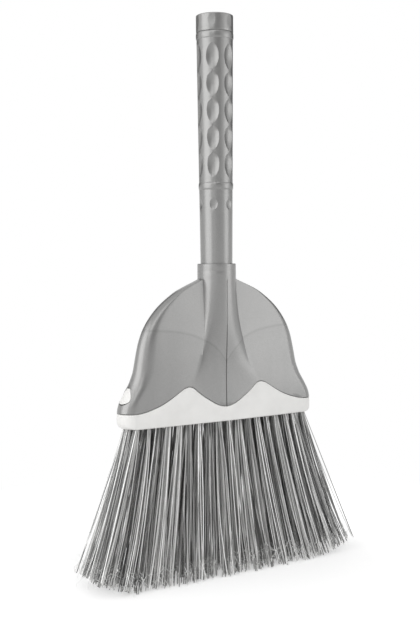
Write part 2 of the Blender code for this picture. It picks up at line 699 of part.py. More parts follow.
def filament_into(bm, root, tip, turn):
    """Three-sided filament from inside its strip to a tip cut level with the floor."""
    ends = []
    for place, radius in ((root, FILAMENT_ROOT_RADIUS), (tip, FILAMENT_TIP_RADIUS)):
        corners = []
        for i in range(3):
            angle = turn + math.tau * i / 3
            x = place[0] + radius * math.cos(angle)
            y = place[1] + radius * math.sin(angle)
            corners.append(bm.verts.new((x, y, place[2])))
        ends.append(corners)
    upper, lower = ends
    bm.faces.new(upper)
    bm.faces.new(reversed(lower))
    for i in range(3):
        j = (i + 1) % 3
        bm.faces.new((lower[i], lower[j], upper[j], upper[i]))


def make_bristle_row(name, row, offset, scatter, material):
    """One row of tufts, fanned out towards the floor, standing in a strip of the block."""
    half_length = strip_half_length(offset)
    bm = bmesh.new()
    half = STRIP_WIDTH / 2
    box_into(
        bm,
        (-half_length, offset - half, BLOCK_BOTTOM),
        (half_length, offset + half, BLOCK_BOTTOM + STRIP_HEIGHT),
    )
    strip = object_from(bm, name, material)

    reach = half_length - TUFT_END_MARGIN
    tufts = math.floor(2 * reach / TUFT_PITCH) + 1
    pitch = 2 * reach / (tufts - 1)
    spread = TIP_HALF_WIDTH / reach
    tip_offset = offset / ROW_PITCH * TIP_ROW_PITCH
    bm = bmesh.new()
    for tuft in range(tufts):
        x = -reach + tuft * pitch
        for filament, (along, across) in enumerate(((0, 0), (-1, -1), (1, -1), (-1, 1), (1, 1))):
            root = (
                x + along * TUFT_HALF_LENGTH,
                offset + across * TUFT_HALF_WIDTH,
                BLOCK_BOTTOM + STRIP_HEIGHT / 2,
            )
            tip = (
                x * spread + along * TIP_TUFT_HALF_LENGTH + scatter.uniform(-TIP_SCATTER, TIP_SCATTER),
                tip_offset + across * TIP_TUFT_HALF_WIDTH + scatter.uniform(-TIP_SCATTER, TIP_SCATTER),
                0,
            )
            filament_into(bm, root, tip, math.radians(47) * (filament + 5 * tuft + row))
    combine(strip, object_from(bm, name + "_filaments"), "UNION")
    return strip


def build():
    clear_scene()
    silver = finish_material("silver_plastic", (0.42, 0.42, 0.41), 0.34, 0.35)
    white = finish_material("white_plastic", (0.8, 0.79, 0.77), 0.5, 0)
    grey = finish_material("grey_filament", (0.25, 0.25, 0.24), 0.55, 0)
    make_handle_grip(silver)
    make_end_cap(silver)
    make_thread_plug(silver)
    make_hood(silver)
    make_bristle_block(white)
    make_latch("latch_left", -1, white)
    make_latch("latch_right", 1, white)
    scatter = random.Random(5)
    for row, offset in enumerate(row_offsets()):
        make_bristle_row(f"bristle_row_{row + 1}", row, offset, scatter, grey)


build()
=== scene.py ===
import math
import random

import bmesh
import bpy
import numpy as np
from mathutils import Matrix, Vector


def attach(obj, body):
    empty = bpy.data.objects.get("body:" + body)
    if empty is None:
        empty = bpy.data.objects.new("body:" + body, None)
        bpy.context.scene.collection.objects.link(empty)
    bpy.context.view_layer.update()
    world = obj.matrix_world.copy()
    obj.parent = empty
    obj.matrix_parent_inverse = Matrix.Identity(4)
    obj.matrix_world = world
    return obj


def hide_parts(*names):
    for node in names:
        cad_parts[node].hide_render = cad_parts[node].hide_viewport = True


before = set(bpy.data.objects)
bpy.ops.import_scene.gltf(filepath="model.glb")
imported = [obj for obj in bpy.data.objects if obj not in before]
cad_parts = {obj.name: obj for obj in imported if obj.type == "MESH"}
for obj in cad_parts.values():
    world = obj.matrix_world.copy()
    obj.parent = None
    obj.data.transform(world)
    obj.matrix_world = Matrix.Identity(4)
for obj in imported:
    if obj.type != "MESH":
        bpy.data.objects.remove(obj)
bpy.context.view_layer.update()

# ---- Bristle block -------------------------------------------------------------------------------
# One moulding in white polypropylene. Its band carries on the faces of the hood above it, and a
# narrower rim on top of the band snaps up inside the hood. The tufts are stapled in below.

MM = 0.001
JOINT = 0.65 * MM
BLOCK_BOTTOM = 129 * MM
HOOD_FOOT = 142 * MM
WING_TOP = 250 * MM
HALF_WIDTH = 97 * MM
COLLAR_RADIUS = 16.8 * MM
BLOCK_HALF_DEPTH = 13.5 * MM
WING_TOP_HALF_DEPTH = 4.5 * MM
WING_FALL = 1.3 * MM
KEEL_PROUD = 1.2 * MM
KEEL_HALF_WIDTH = 44 * MM
END_ROUNDING = 11 * MM
ARCH_RISE = 19.0 * MM
WALL = 2 * MM
GROOVE_HALF_WIDTH = 0.5 * MM
GROOVE_DEPTH = 1.0 * MM

# Each table runs from the block's bottom (0) to the top of the wings (1). WIDTHS, CREASES and KEELS
# end in the collar, and DEPTHS in the wings' thin top. The crease is where the keel meets the wing.
WIDTHS = (
    (0, 1), (0.1, 1), (0.125, 0.997), (0.167, 0.979), (0.208, 0.947), (0.25, 0.908),
    (0.292, 0.869), (0.333, 0.842), (0.375, 0.819), (0.5, 0.781), (0.583, 0.751),
    (0.667, 0.7), (0.75, 0.618), (0.833, 0.498), (0.917, 0.32), (0.958, 0.187), (0.985, 0.085), (1, 0.03),
)
DEPTHS = (
    (0, 1), (0.125, 0.99), (0.25, 0.96), (0.367, 0.9), (0.483, 0.8),
    (0.6, 0.635), (0.733, 0.375), (0.875, 0.14), (1, 0),
)
CREASES = (
    (0, 1), (0.1, 0.947), (0.208, 0.787), (0.292, 0.6), (0.367, 0.42),
    (0.42, 0.31), (0.483, 0.22), (0.6, 0.12), (0.733, 0.045), (0.9, 0.008), (1, 0),
)
KEELS = (
    (0, 0), (0.1, -0.1), (0.2, -0.22), (0.3, -0.25), (0.4, -0.1),
    (0.5, 0.22), (0.6, 0.55), (0.7, 0.78), (0.85, 0.95), (1, 1),
)
ROUNDINGS = (
    (0, 1), (0.1, 1), (0.167, 1.04), (0.25, 1.1), (0.39, 1.17),
    (0.55, 1.1), (0.7, 0.85), (0.84, 0.58), (1, 0.1),
)
# The wavy joint's rise from the middle (0) to the end (1) of the block.
WAVES = (
    (0, 0), (0.05, 0.035), (0.11, 0.15), (0.17, 0.325), (0.24, 0.555), (0.3, 0.79), (0.335, 0.935),
    (0.377, 1), (0.425, 0.94), (0.51, 0.68), (0.59, 0.45), (0.68, 0.25), (0.8, 0.07), (0.88, 0.01), (1, 0),
)
SOCKET_TURN = math.acos(WING_TOP_HALF_DEPTH / COLLAR_RADIUS)
KEEL_STEPS, WING_STEPS, END_STEPS = 16, 14, 12
QUARTER = KEEL_STEPS + WING_STEPS + END_STEPS
STEPS = 4 * QUARTER


def smooth_between(table, place):
    """Height of a smooth curve through the table's points."""
    last = len(table) - 1
    place = min(max(place, table[0][0]), table[last][0])
    i = 0
    while i < last - 1 and place > table[i + 1][0]:
        i += 1
    start, end = table[i], table[i + 1]
    before, after = table[max(i - 1, 0)], table[min(i + 2, last)]
    span = end[0] - start[0]
    leaving = (end[1] - before[1]) / (end[0] - before[0]) * span
    reaching = (after[1] - start[1]) / (after[0] - start[0]) * span
    t = (place - start[0]) / span
    return (
        (2 * t**3 - 3 * t**2 + 1) * start[1] + (t**3 - 2 * t**2 + t) * leaving
        + (3 * t**2 - 2 * t**3) * end[1] + (t**3 - t**2) * reaching
    )


def ease(t):
    """A smooth step from 0 to 1."""
    t = min(max(t, 0), 1)
    return t * t * (3 - 2 * t)


def head_sizes(height):
    """Half width, depths and roundings of the head's outline at one height."""
    share = (height - BLOCK_BOTTOM) / (WING_TOP - BLOCK_BOTTOM)
    top = COLLAR_RADIUS * math.sin(SOCKET_TURN)
    foot = BLOCK_HALF_DEPTH + KEEL_PROUD
    width = COLLAR_RADIUS + (HALF_WIDTH - COLLAR_RADIUS) * smooth_between(WIDTHS, share)
    depth = WING_TOP_HALF_DEPTH + (BLOCK_HALF_DEPTH - WING_TOP_HALF_DEPTH) * smooth_between(DEPTHS, share)
    crease = top + (KEEL_HALF_WIDTH - top) * smooth_between(CREASES, share)
    keel = foot + (COLLAR_RADIUS - foot) * smooth_between(KEELS, share)
    rounding = END_ROUNDING * smooth_between(ROUNDINGS, share)
    fall = WING_FALL * (1 - ease((share - 0.3) / 0.6))
    return share, width, depth, crease, keel, rounding, fall


def head_point(step, height, inset=0):
    """Point number step of the outline, from the middle of the front to the right and round the back.

    Each quarter runs over the keel, along the wing and round the end. An inset gives a wall's inside.
    """
    share, width, depth, crease, keel, rounding, fall = head_sizes(height)
    side, local = divmod(step, QUARTER)
    if side % 2:
        local = QUARTER - local
    if inset:
        width, depth, keel = width - inset * 1.25, depth - inset, keel - inset
        crease = min(crease - inset, width * 0.97)
    shoulder = crease + max(width - rounding - crease, (width - crease) / 4)
    if local <= KEEL_STEPS:
        across = math.sin(SOCKET_TURN * max(local - 1, 0) / (KEEL_STEPS - 1)) / math.sin(SOCKET_TURN)
        across = max(across, min(local, 1) * GROOVE_HALF_WIDTH / crease)
        level = math.cos(SOCKET_TURN)
        rounded = (math.sqrt(1 - (across * math.sin(SOCKET_TURN)) ** 2) - level) / (1 - level)
        edge = ease((share - 0.2) / 0.2)
        domed = (1 - across**2) ** 2 * (1 - edge) + (1 - across**4) * edge
        creased = 0.75 * domed + 0.25 * (1 - across)
        blend = ease((share - 0.4) / 0.2)
        x, y = crease * across, depth + (keel - depth) * (blend * rounded + (1 - blend) * creased)
        if local == 0 and not inset:
            y -= GROOVE_DEPTH * (1 - 0.75 * ease((share - 0.6) / 0.15)) * ease((share - 0.09) / 0.015)
    elif local <= KEEL_STEPS + WING_STEPS:
        t = (local - KEEL_STEPS) / WING_STEPS
        x, y = crease + (shoulder - crease) * t, depth - fall * t**1.4
    else:
        turn = math.pi / 2 * (local - KEEL_STEPS - WING_STEPS) / END_STEPS
        x, y = shoulder + (width - shoulder) * math.sin(turn), (depth - fall) * math.cos(turn)
    if side in (2, 3):
        x = -x
    if side in (0, 3):
        y = -y
    return x, y, height


def wave_height(step, inset=0):
    """Height at which the head's outline meets the wavy joint between hood and block."""
    height = HOOD_FOOT
    for _ in range(24):
        x = head_point(step, height, inset)[0]
        height = (height + HOOD_FOOT + ARCH_RISE * smooth_between(WAVES, abs(x) / HALF_WIDTH)) / 2
    return height


def deselect_all():
    """Back to object mode with nothing selected."""
    if bpy.context.mode != "OBJECT":
        bpy.ops.object.mode_set(mode="OBJECT")
    bpy.ops.object.select_all(action="DESELECT")


def lofted(name, rings, ends="filled"):
    """A circle of edges, extruded from outline to outline and set to the points of each.

    The first and last outline are filled, or joined to each other in a closed tube.
    """
    deselect_all()
    count = len(rings[0])
    bpy.ops.mesh.primitive_circle_add(vertices=count, radius=HALF_WIDTH)
    piece = bpy.context.active_object
    piece.name = piece.data.name = name
    bpy.ops.object.mode_set(mode="EDIT")
    bpy.ops.mesh.select_all(action="SELECT")
    for number, ring in enumerate(rings):
        if number:
            bpy.ops.mesh.extrude_region_move()
        mesh = bmesh.from_edit_mesh(piece.data)
        mesh.verts.ensure_lookup_table()
        for vertex, place in zip(mesh.verts[number * count:], ring):
            vertex.co = place
    if ends == "joined":
        mesh = bmesh.from_edit_mesh(piece.data)
        for vertex in mesh.verts:
            vertex.select = vertex.index < count or vertex.index >= (len(rings) - 1) * count
        mesh.select_flush(True)
        for face in mesh.faces:
            face.select = False
        for edge in mesh.edges:
            edge.select = edge.is_boundary
        bpy.ops.mesh.bridge_edge_loops()
    else:
        mesh = bmesh.from_edit_mesh(piece.data)
        mesh.verts.ensure_lookup_table()
        mesh.faces.new(mesh.verts[:count])
        mesh.faces.new(mesh.verts[-count:])
    bpy.ops.mesh.select_all(action="SELECT")
    bpy.ops.mesh.normals_make_consistent(inside=False)
    bpy.ops.object.mode_set(mode="OBJECT")
    return piece


def pick(piece):
    """Makes one piece the only selected and active one."""
    deselect_all()
    piece.select_set(True)
    bpy.context.view_layer.objects.active = piece


def smoothed(piece, degrees=32):
    """Shades smooth over edges that turn by less than so many degrees."""
    pick(piece)
    bpy.ops.object.shade_smooth_by_angle(angle=math.radians(degrees), keep_sharp_edges=True)


def with_modifier(piece, kind, **settings):
    """Adds one modifier to the piece and applies it at once."""
    pick(piece)
    modifier = piece.modifiers.new(kind.title(), kind)
    for setting, value in settings.items():
        setattr(modifier, setting, value)
    bpy.ops.object.modifier_apply(modifier=modifier.name)


def cut_with(piece, cutter, operation="DIFFERENCE"):
    """Takes the cutter's shape out of the piece, or leaves only what lies in both."""
    with_modifier(piece, "BOOLEAN", operation=operation, solver="EXACT", object=cutter)
    bpy.data.objects.remove(cutter)


def pushed_outline(name, outline, axis, start, end):
    """A flat outline set up across one axis and extruded along it."""
    rings = []
    for place in (start, end):
        points = [list(point) for point in outline]
        for point in points:
            point.insert(axis, place)
        rings.append(points)
    return lofted(name, rings)


def shrunk(ring, share=0.2):
    """A smaller outline in the middle of a flat end, which keeps the end's faces even."""
    return [(x * share, y * share, z) for x, y, z in ring]


BLOCK_CORNER = 5.5 * MM
BLOCK_EDGE = 1.2 * MM
BLOCK_TOP = 166.2 * MM
RIM_GAP = 0.3 * MM
BAND_EDGE = 0.35 * MM
BAND_EDGE_RISE = 0.15 * MM
EDGE_TURNS = (0, 12, 25, 40, 55, 72, 90)

wave = [wave_height(step) for step in range(STEPS)]
joint = [height - JOINT for height in wave]
rings = [shrunk([head_point(step, BLOCK_BOTTOM) for step in range(STEPS)])]
for turn in EDGE_TURNS:
    pull = 1 - math.sin(math.radians(turn))
    lift = 1 - math.cos(math.radians(turn))
    along, across = 1 - pull * BLOCK_CORNER / HALF_WIDTH, 1 - pull * BLOCK_EDGE / BLOCK_HALF_DEPTH
    ring = []
    for step in range(STEPS):
        x, y, _ = head_point(step, BLOCK_BOTTOM)
        near_end = ease((abs(x) / HALF_WIDTH - 0.9) / 0.1)
        height = BLOCK_BOTTOM + lift * (BLOCK_EDGE + (BLOCK_CORNER - BLOCK_EDGE) * near_end)
        ring.append((x * along, y * across, height))
    rings.append(ring)
edge_top = [height for _, _, height in rings[-1]]
for share in (0.3, 0.5, 0.7, 0.85, 0.95):
    rings.append([
        head_point(step, edge_top[step] + (share - 0.15) / 0.85 * (joint[step] - edge_top[step]))
        for step in range(STEPS)
    ])
rings.append([head_point(step, joint[step]) for step in range(STEPS)])
for inset in (BAND_EDGE, WALL + RIM_GAP):
    rings.append([
        (*head_point(step, joint[step], inset)[:2], joint[step] + BAND_EDGE_RISE) for step in range(STEPS)
    ])
rings.append([head_point(step, BLOCK_TOP, WALL + RIM_GAP) for step in range(STEPS)])
rings.append(shrunk(rings[-1]))
block = lofted("block_moulding", rings)

LATCH_HALF_WIDTH = 8.2 * MM
POCKET_OUTSIDE, POCKET_INSIDE, POCKET_FOOT_INSIDE = 93.7 * MM, 69 * MM, 86.2 * MM
POCKET_FLOOR, LUG_FLOOR = 142.2 * MM, 147.9 * MM
SLOT_OUTSIDE, SLOT_INSIDE, SLOT_HALF_WIDTH = 93.3 * MM, 86.5 * MM, 5.1 * MM
SLOT_FLOOR, SLOT_TOP = 134 * MM, 142.6 * MM
PAST_END, PAST_TOP = 104 * MM, 172 * MM
for side in (-1, 1):
    pocket = [
        (side * POCKET_OUTSIDE, POCKET_FLOOR), (side * POCKET_OUTSIDE, LUG_FLOOR),
        (side * PAST_END, LUG_FLOOR), (side * PAST_END, PAST_TOP),
        (side * POCKET_INSIDE, PAST_TOP), (side * POCKET_FOOT_INSIDE, POCKET_FLOOR),
    ]
    cut_with(block, pushed_outline("pocket", pocket, 1, -LATCH_HALF_WIDTH - JOINT, LATCH_HALF_WIDTH + JOINT))
    slot = [
        (side * SLOT_OUTSIDE, SLOT_FLOOR), (side * SLOT_OUTSIDE, SLOT_TOP),
        (side * SLOT_INSIDE, SLOT_TOP), (side * SLOT_INSIDE, SLOT_FLOOR),
    ]
    cut_with(block, pushed_outline("slot", slot, 1, -SLOT_HALF_WIDTH, SLOT_HALF_WIDTH))
smoothed(block)


def node_maker(material):
    """Adds nodes to a material, with their settings, and links what is given for each input."""
    tree = material.node_tree

    def add(kind, inputs=None, **settings):
        node = tree.nodes.new(kind)
        for setting, value in settings.items():
            setattr(node, setting, value)
        for name, value in (inputs or {}).items():
            if isinstance(value, bpy.types.NodeSocket):
                tree.links.new(value, node.inputs[name])
            else:
                node.inputs[name].default_value = value
        return node

    return add


def colour_steps(node, steps):
    """Sets a colour ramp to (place, colour) steps."""
    ramp = node.color_ramp
    while len(ramp.elements) < len(steps):
        ramp.elements.new(0.5)
    for element, (place, colour) in zip(ramp.elements, steps):
        element.position = place
        element.color = (*colour, 1)
    return node


def moulded_plastic(name, low, high, roughness):
    """Satin moulded plastic: a cloudy tint, a fine spark-eroded grain and an uneven gloss."""
    material = bpy.data.materials.new(name)
    material.use_nodes = True
    shader = material.node_tree.nodes["Principled BSDF"]
    add = node_maker(material)
    place = add("ShaderNodeTexCoord").outputs["Object"]
    cloud = add("ShaderNodeTexNoise", {"Vector": place, "Scale": 45, "Detail": 4, "Roughness": 0.6})
    tint = colour_steps(add("ShaderNodeValToRGB", {"Fac": cloud.outputs["Fac"]}), [(0.3, low), (0.7, high)])
    wear = add("ShaderNodeTexNoise", {"Vector": place, "Scale": 160, "Detail": 3})
    gloss = add("ShaderNodeMapRange", {
        "Value": wear.outputs["Fac"], "To Min": roughness - 0.05, "To Max": roughness + 0.06,
    })
    fine = add("ShaderNodeTexNoise", {"Vector": place, "Scale": 2200, "Detail": 2})
    bump = add("ShaderNodeBump", {"Height": fine.outputs["Fac"], "Strength": 0.04, "Distance": 0.0002})
    links = material.node_tree.links
    links.new(tint.outputs["Color"], shader.inputs["Base Color"])
    links.new(gloss.outputs["Result"], shader.inputs["Roughness"])
    links.new(bump.outputs["Normal"], shader.inputs["Normal"])
    return material


white_plastic = moulded_plastic("white_moulded", (0.70, 0.695, 0.68), (0.77, 0.765, 0.75), 0.42)
block.data.materials.append(white_plastic)
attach(block, "head")
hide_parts("bristle_block")

# ---- Latch tongues -------------------------------------------------------------------------------
# Two springy white tongues stand in the ends of the block. The lug on each snaps into a window of
# the hood and lies flush with it; both are pressed in to take the hood off.

LATCH_HEAD_HALF_WIDTH = 2.8 * MM
WINDOW_FOOT = 148.7 * MM
WINDOW_SHOULDER = 152.7 * MM
WINDOW_HEAD = 162.7 * MM
TONGUE_THICKNESS = 1.6 * MM
TONGUE_HALF_WIDTH = 4.5 * MM
TONGUE_ROOT, TONGUE_FOOT = 93 * MM, 134.4 * MM
TONGUE_TIP, TONGUE_TOP = 82.9 * MM, 165.4 * MM
LUG_INSIDE, LUG_SUNK = 84 * MM, 0.1 * MM
BEHIND_LUG, BEHIND_HALF_WIDTH = 74 * MM, 10 * MM


def window_points(gap, sides=14):
    """The window's outline: a rounded foot, and sides that draw in to a short straight head."""
    head, half = LATCH_HEAD_HALF_WIDTH - gap, LATCH_HALF_WIDTH - gap
    side = []
    for i in range(sides + 1):
        turn = math.pi / 2 * i / sides
        height = WINDOW_HEAD - gap - (WINDOW_HEAD - gap - WINDOW_SHOULDER) * i / sides
        side.append((head + (half - head) * math.sin(turn), height))
    foot, drop = [], WINDOW_SHOULDER - WINDOW_FOOT - gap * 1.5
    for i in range(1, 2 * sides + 1):
        turn = math.pi * i / (2 * sides + 1)
        foot.append((-half * math.cos(turn), WINDOW_SHOULDER - drop * math.sin(turn)))
    return [(-y, z) for y, z in side] + foot + side[::-1]


def head_solid(name, bottom, top, inset, stations=12):
    """The head's outline as a solid between two heights."""
    heights = [bottom + (top - bottom) * i / stations for i in range(stations + 1)]
    return lofted(name, [[head_point(step, height, inset) for step in range(STEPS)] for height in heights])


for side, word in ((-1, "left"), (1, "right")):
    lug = pushed_outline(f"latch_lug_{word}", window_points(JOINT), 0, side * LUG_INSIDE, side * PAST_END)
    cut_with(lug, head_solid("lug_limit", SLOT_FLOOR, PAST_TOP, LUG_SUNK), "INTERSECT")
    root, tip = side * TONGUE_ROOT, side * TONGUE_TIP
    thick = side * TONGUE_THICKNESS
    behind = [
        (root - thick / 2, TONGUE_FOOT), (tip - thick / 2, TONGUE_TOP),
        (side * BEHIND_LUG, TONGUE_TOP), (side * BEHIND_LUG, TONGUE_FOOT),
    ]
    cut_with(lug, pushed_outline("behind_the_lug", behind, 1, -BEHIND_HALF_WIDTH, BEHIND_HALF_WIDTH))
    with_modifier(
        lug, "BEVEL", width=0.45 * MM, segments=3, limit_method="ANGLE", angle_limit=math.radians(50)
    )
    outline = [(root, TONGUE_FOOT), (tip, TONGUE_TOP), (tip - thick, TONGUE_TOP), (root - thick, TONGUE_FOOT)]
    tongue = pushed_outline(f"latch_tongue_{word}", outline, 1, -TONGUE_HALF_WIDTH, TONGUE_HALF_WIDTH)
    with_modifier(tongue, "BEVEL", width=0.3 * MM, segments=2, limit_method="ANGLE")
    pick(lug)
    tongue.select_set(True)
    bpy.ops.object.join()
    smoothed(lug)
    lug.data.materials.clear()
    lug.data.materials.append(white_plastic)
    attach(lug, f"{word}_tongue")
    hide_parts(f"latch_{word}")

# ---- Hood ----------------------------------------------------------------------------------------
# One thin-walled moulding in silver-grey pearl plastic: two wings, a round socket that spreads into
# a keel, and a collar for the handle. Its wavy lower edge meets the block with a fine joint.

COLLAR_TOP = 264 * MM
RECESS_FLOOR = 255 * MM
RECESS_RADIUS = 14.3 * MM
SOCKET_RADIUS = 11.4 * MM
SOCKET_FOOT = 228 * MM
LOWER_EDGE = 0.35 * MM
CROWN = 1 * MM
MOUTH_EDGE = 0.3 * MM
STATIONS = 64
# Height in mm and share of the collar's radius: a fine step above the wings, and a rounded lip.
COLLAR_PROFILE = (
    (251.2, 1), (254, 1), (257.6, 1), (257.9, 0.996), (258.2, 0.997), (261, 0.997), (263.2, 0.997),
    (263.65, 0.993), (263.9, 0.978), (264, 0.955),
)


def rise_share(station):
    """Stations crowd together where the shoulders run into the collar."""
    t = station / STATIONS
    return 1 - (1 - t) ** 1.7


rings = [
    [head_point(step, wave[step], 0.3 * MM) for step in range(STEPS)],
    [head_point(step, wave[step] + 0.12 * MM, 0.1 * MM) for step in range(STEPS)],
]
for station in range(STATIONS + 1):
    share = rise_share(station)
    rings.append([
        head_point(step, wave[step] + LOWER_EDGE + share * (WING_TOP - wave[step] - LOWER_EDGE))
        for step in range(STEPS)
    ])
collar = [
    (COLLAR_RADIUS * x / math.hypot(x, y), COLLAR_RADIUS * y / math.hypot(x, y))
    for x, y, _ in rings[-1]
]
for height, share in COLLAR_PROFILE:
    rings.append([(x * share, y * share, height * MM) for x, y in collar])
bearings = [math.atan2(y, x) for x, y in collar]
for radius, height in (
    (RECESS_RADIUS + MOUTH_EDGE, COLLAR_TOP), (RECESS_RADIUS, COLLAR_TOP - MOUTH_EDGE),
    (RECESS_RADIUS, RECESS_FLOOR), (SOCKET_RADIUS, RECESS_FLOOR), (SOCKET_RADIUS, SOCKET_FOOT),
):
    rings.append([(radius * math.cos(turn), radius * math.sin(turn), height) for turn in bearings])
for share in (1, 0.9, 0.75, 0.6, 0.45, 0.3, 0.15, 0):
    rings.append([
        head_point(step, wave[step] + share * (SOCKET_FOOT - CROWN - wave[step]), WALL)
        for step in range(STEPS)
    ])
hood = lofted("hood_moulding", rings, ends="joined")

WINDOW_REACH = 110 * MM
for side in (-1, 1):
    cut_with(hood, pushed_outline("window", window_points(0), 0, side * POCKET_INSIDE, side * WINDOW_REACH))

# The bottom of the keel's fine groove is a sharp line.
bpy.ops.object.mode_set(mode="EDIT")
mesh = bmesh.from_edit_mesh(hood.data)
bpy.ops.mesh.select_all(action="DESELECT")
for edge in mesh.edges:
    ends = [vertex.co for vertex in edge.verts]
    on_line = all(abs(place.x) < 0.05 * MM and abs(place.y) > 10 * MM for place in ends)
    if on_line and max(place.z for place in ends) < WING_TOP:
        edge.select = True
bpy.ops.mesh.mark_sharp()
bpy.ops.object.mode_set(mode="OBJECT")
smoothed(hood, 24)


# Heights and sag of the hood's painted shade line, a dark arc where the wings' curvature changes.
SHADE_LINE_LEVELS = (0.196, 0.220)
SHADE_LINE_SAG, SHADE_LINE_SAG_FADING = 0.030, 50.0


def pearl_plastic(name, painted_shade_line=False):
    """Silver-grey plastic with fine pearl flakes that lie in soft clouds along the melt's flow.

    The hood's line is painted shade: a faint dark arc across each wing where its curvature changes, with a
    slight painted highlight just above it. It sags towards the keel.
    """
    material = bpy.data.materials.new(name)
    material.use_nodes = True
    shader = material.node_tree.nodes["Principled BSDF"]
    add = node_maker(material)
    place = add("ShaderNodeTexCoord").outputs["Object"]
    drawn = add("ShaderNodeMapping", {"Vector": place, "Scale": (1, 1, 0.35)})
    cloud = add("ShaderNodeTexNoise", {
        "Vector": drawn.outputs["Vector"],
        "Scale": 26, "Detail": 5, "Roughness": 0.55, "Distortion": 0.6,
    })
    tint = colour_steps(
        add("ShaderNodeValToRGB", {"Fac": cloud.outputs["Fac"]}),
        [(0.3, (0.24, 0.24, 0.237)), (0.7, (0.275, 0.273, 0.269))],
    )
    flakes = add("ShaderNodeTexVoronoi", {"Vector": place, "Scale": 2600})
    glint = add("ShaderNodeMapRange", {
        "Value": flakes.outputs["Distance"],
        "From Min": 0.1, "From Max": 0.6, "To Min": 1.18, "To Max": 0.92,
    })
    colour = tint.outputs["Color"]
    # Painted shade: a faint darker arc with a slight painted highlight above it, multiplied into the base
    # colour.
    if painted_shade_line:
        axes = add("ShaderNodeSeparateXYZ", {"Vector": place})
        aside = add("ShaderNodeMath", {0: axes.outputs["X"]}, operation="ABSOLUTE")
        nearness = add("ShaderNodeMath", {0: aside.outputs[0], 1: -SHADE_LINE_SAG_FADING}, operation="MULTIPLY")
        fading = add("ShaderNodeMath", {0: nearness.outputs[0]}, operation="EXPONENT")
        sag = add("ShaderNodeMath", {0: fading.outputs[0], 1: SHADE_LINE_SAG}, operation="MULTIPLY")
        level = add("ShaderNodeMath", {0: axes.outputs["Z"], 1: sag.outputs[0]}, operation="ADD")
        along = add("ShaderNodeMapRange", {
            "Value": level.outputs[0], "From Min": SHADE_LINE_LEVELS[0], "From Max": SHADE_LINE_LEVELS[1],
        })
        line = colour_steps(
            add("ShaderNodeValToRGB", {"Fac": along.outputs["Result"]}),
            [(share, (tone, tone, tone)) for share, tone in (
                (0, 1), (0.52, 0.97), (0.58, 0.86), (0.66, 1.02), (1, 1),
            )],
        )
        shaded = add("ShaderNodeVectorMath", {0: colour, 1: line.outputs["Color"]}, operation="MULTIPLY")
        colour = shaded.outputs[0]
    sparkling = add("ShaderNodeVectorMath", {0: colour, "Scale": glint.outputs["Result"]}, operation="SCALE")
    gloss = add("ShaderNodeMapRange", {"Value": cloud.outputs["Fac"], "To Min": 0.28, "To Max": 0.36})
    fine = add("ShaderNodeTexNoise", {"Vector": place, "Scale": 1500, "Detail": 2})
    bump = add("ShaderNodeBump", {"Height": fine.outputs["Fac"], "Strength": 0.05, "Distance": 0.0002})
    links = material.node_tree.links
    links.new(sparkling.outputs[0], shader.inputs["Base Color"])
    links.new(gloss.outputs["Result"], shader.inputs["Roughness"])
    links.new(bump.outputs["Normal"], shader.inputs["Normal"])
    shader.inputs["Metallic"].default_value = 0.5
    shader.inputs["Coat Weight"].default_value = 0.12
    shader.inputs["Coat Roughness"].default_value = 0.2
    return material


# The hood's plastic carries the painted shade line across its wings.
hood_plastic = pearl_plastic("hood_pearl", painted_shade_line=True)
hood.data.materials.append(hood_plastic)
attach(hood, "head")
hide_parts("hood")

# ---- Bristles ------------------------------------------------------------------------------------
# Four rows of tufts in grey polyester filament, folded and stapled into the block's underside. They
# fan out towards the floor, and the filament ends are split, or flagged, into fine pale hairs.

FILAMENTS = 23
FILAMENT_RADIUS = 0.41 * MM
HAIR_RADIUS = 0.3 * MM
TIP_HALF_WIDTH = 122 * MM
ROW_OFFSETS = (-8.7 * MM, -2.9 * MM, 2.9 * MM, 8.7 * MM)
TUFTS = (18, 19, 19, 18)
ROOT_REACH = (84.4 * MM, 87.8 * MM, 87.8 * MM, 84.4 * MM)
ROOT_HEIGHT = BLOCK_BOTTOM + 2 * MM
ROOT_SPREAD = (2.5 * MM, 2.1 * MM)
TIP_SPREAD = (5.4 * MM, 4.2 * MM)
ROW_SPREAD = 15 / 5.8
WILD_SHARE, WILDNESS = 0.07, 3.5
SHORT_SHARE = 0.05
END_CURVE, END_RISE = 98 * MM, 0.36
FLAGGED_SHARE, HAIRS = 0.6, 3
STRAY_TIPS = ((127.8 * MM, -28.5 * MM, 13 * MM), (126 * MM, -28.5 * MM, 16 * MM))
BOX_HALF_WIDTH, BOX_HALF_DEPTH, FLOOR_GAP = 127.9 * MM, 28.7 * MM, 0.05 * MM
SHAFT_RINGS = 7
HAIR_RINGS = 6


def straight_model(rings):
    """Points and faces of the active upright piece, one unit high, after cuts across it."""
    bpy.ops.object.transform_apply(location=True)
    model = bpy.context.active_object
    bpy.ops.object.mode_set(mode="EDIT")
    for ring in range(1, rings):
        bpy.ops.mesh.select_all(action="SELECT")
        bpy.ops.mesh.bisect(plane_co=(0, 0, ring / rings), plane_no=(0, 0, 1))
    bpy.ops.object.mode_set(mode="OBJECT")
    points = np.array([vertex.co for vertex in model.data.vertices])
    faces = [list(face.vertices) for face in model.data.polygons]
    bpy.data.objects.remove(model)
    return points, faces


deselect_all()
bpy.ops.mesh.primitive_cylinder_add(vertices=4, radius=1, depth=1, location=(0, 0, 0.5), end_fill_type="NGON")
shaft_points, shaft_faces = straight_model(SHAFT_RINGS)
deselect_all()
bpy.ops.mesh.primitive_cone_add(vertices=3, radius1=1, radius2=0.3, depth=1, location=(0, 0, 0.5))
hair_points, hair_faces = straight_model(HAIR_RINGS)


